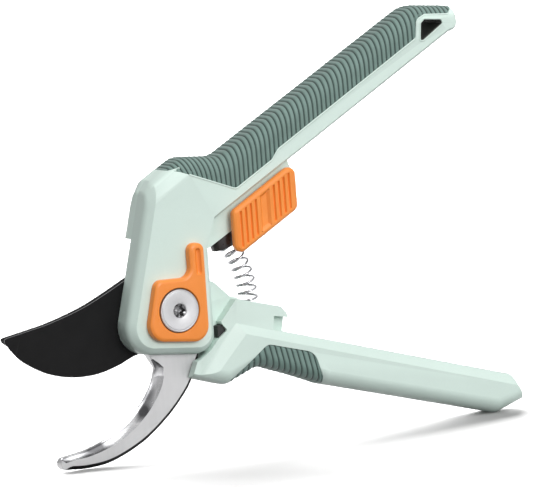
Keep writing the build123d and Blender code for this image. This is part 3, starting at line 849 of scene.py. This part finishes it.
# ------------------------------------------------------------------ CAD nodes that stay
kept = {
    "upper_front_shell": (MINT, 0.35), "upper_rear_shell": (MINT, 0.35),
    "lower_front_shell": (MINT, 0.35), "lower_rear_shell": (MINT, 0.35),
    "spring_cup": (BLACK_PLASTIC, 0.2), "spring_seat": (BLACK_PLASTIC, 0.2),
    "lock_catch": (BLACK_PLASTIC, 0.15), "stop_bumper": (BLACK_RUBBER, 0.25),
    "hook_pins": (PIN_STEEL, 0.1), "blade_pins": (PIN_STEEL, 0.1),
    "upper_screws": (PIN_STEEL, 0.12), "lower_screws": (PIN_STEEL, 0.12), "pivot_bushing": (BRONZE, 0.1),
    "pivot_washer": (PIN_STEEL, 0.08), "pivot_nut": (BOLT_STEEL, 0.25), "lever_washer": (PIN_STEEL, 0.06),
}
for node, (material, width) in kept.items():
    piece = frame["nodes"][node]
    piece.data.materials.clear()
    piece.data.materials.append(material)
    weld = piece.modifiers.new("weld", "WELD")
    weld.merge_threshold = 0.000002
    soften(piece, width)


# ------------------------------------------------------------------ floor, light and camera
def floor():
    """Plain pale paper under the tool; it throws no light back at it."""
    bm = bmesh.new()
    bmesh.ops.create_grid(bm, x_segments=8, y_segments=8, size=9.0)
    mesh = bpy.data.meshes.new("floor")
    bm.to_mesh(mesh)
    bm.free()
    piece = bpy.data.objects.new("floor", mesh)
    material, tree, shader, coords = start_material("floor_paper", roughness=0.9)
    tint = mixed(tree, spread(tree, noise(tree, coords, 3), 0, 1), (0.30, 0.30, 0.30), (0.31, 0.31, 0.31))
    tree.links.new(tint, shader.inputs["Base Color"])
    mesh.materials.append(material)
    scene.collection.objects.link(piece)
    piece.visible_diffuse = False


floor()


def studio():
    """World light: bright overhead and round the horizon, dim from below and from the blades' side."""
    world = bpy.data.worlds.new("studio")
    world.use_nodes = True
    tree = world.node_tree
    coords = tree.nodes.new("ShaderNodeTexCoord").outputs["Generated"]
    axes = tree.nodes.new("ShaderNodeSeparateXYZ")
    tree.links.new(coords, axes.inputs[0])
    ramp = tree.nodes.new("ShaderNodeValToRGB")
    stops = ((0.0, 0.10), (0.44, 0.20), (0.5, 0.62), (0.62, 0.82), (0.8, 0.7), (1.0, 0.8))
    while len(ramp.color_ramp.elements) < len(stops):
        ramp.color_ramp.elements.new(0.5)
    for element, (place_at, level) in zip(ramp.color_ramp.elements, stops):
        element.position = place_at
        element.color = (level, level, level, 1)
    height = spread(tree, axes.outputs["Z"], 0, 1, -1, 1)
    tree.links.new(height, ramp.inputs["Fac"])
    flag = spread(tree, axes.outputs["X"], 0.62, 1.0, -0.95, -0.2)
    shaded = tree.nodes.new("ShaderNodeMix")
    shaded.data_type = "RGBA"
    shaded.blend_type = "MULTIPLY"
    shaded.inputs[0].default_value = 1.0
    tree.links.new(ramp.outputs["Color"], shaded.inputs[6])
    tree.links.new(flag, shaded.inputs[7])
    background = tree.nodes["Background"]
    tree.links.new(shaded.outputs[2], background.inputs["Color"])
    background.inputs["Strength"].default_value = 1.0
    scene.world = world


def sun(name, direction, strength, spread_angle):
    """Distant light from a direction; a wide spread makes its shadows soft."""
    light = bpy.data.lights.new(name, "SUN")
    light.energy = strength
    light.angle = radians(spread_angle)
    lamp = bpy.data.objects.new(name, light)
    lamp.rotation_euler = Vector(direction).to_track_quat("Z", "Y").to_euler()
    scene.collection.objects.link(lamp)
    return lamp


studio()
sun("overhead", (0.15, -0.35, 0.9), 0.85, 40)
sun("front", (0.1, -0.95, 0.35), 1.4, 30)
floor_light = sun("floor_light", (0.15, 0.95, 0.45), 22.0, 50)
lit = bpy.data.collections.new("floor_only")
scene.collection.children.link(lit)
lit.objects.link(bpy.data.objects["floor"])
floor_light.light_linking.receiver_collection = lit
scene.view_settings.view_transform = "Standard"

RIGHT = Vector((0.8757, -0.4767, -0.0757))                # the camera's right
BACK = Vector((-0.4681, -0.877, 0.1073)).normalized()     # from the tool towards the camera
CAMERA_DISTANCE = 4.0
camera_data = bpy.data.cameras.new("camera")
camera_data.sensor_width = 36.0
camera_data.lens = 783.0
camera_data.clip_end = 50.0
camera = bpy.data.objects.new("camera", camera_data)
side = (RIGHT - BACK * RIGHT.dot(BACK)).normalized()
turn = Matrix((side, BACK.cross(side), BACK)).transposed()
spot = place(28.45, -25.95, 20.84) + BACK * CAMERA_DISTANCE
camera.matrix_world = Matrix.Translation(spot) @ turn.to_4x4()
scene.collection.objects.link(camera)
scene.camera = camera
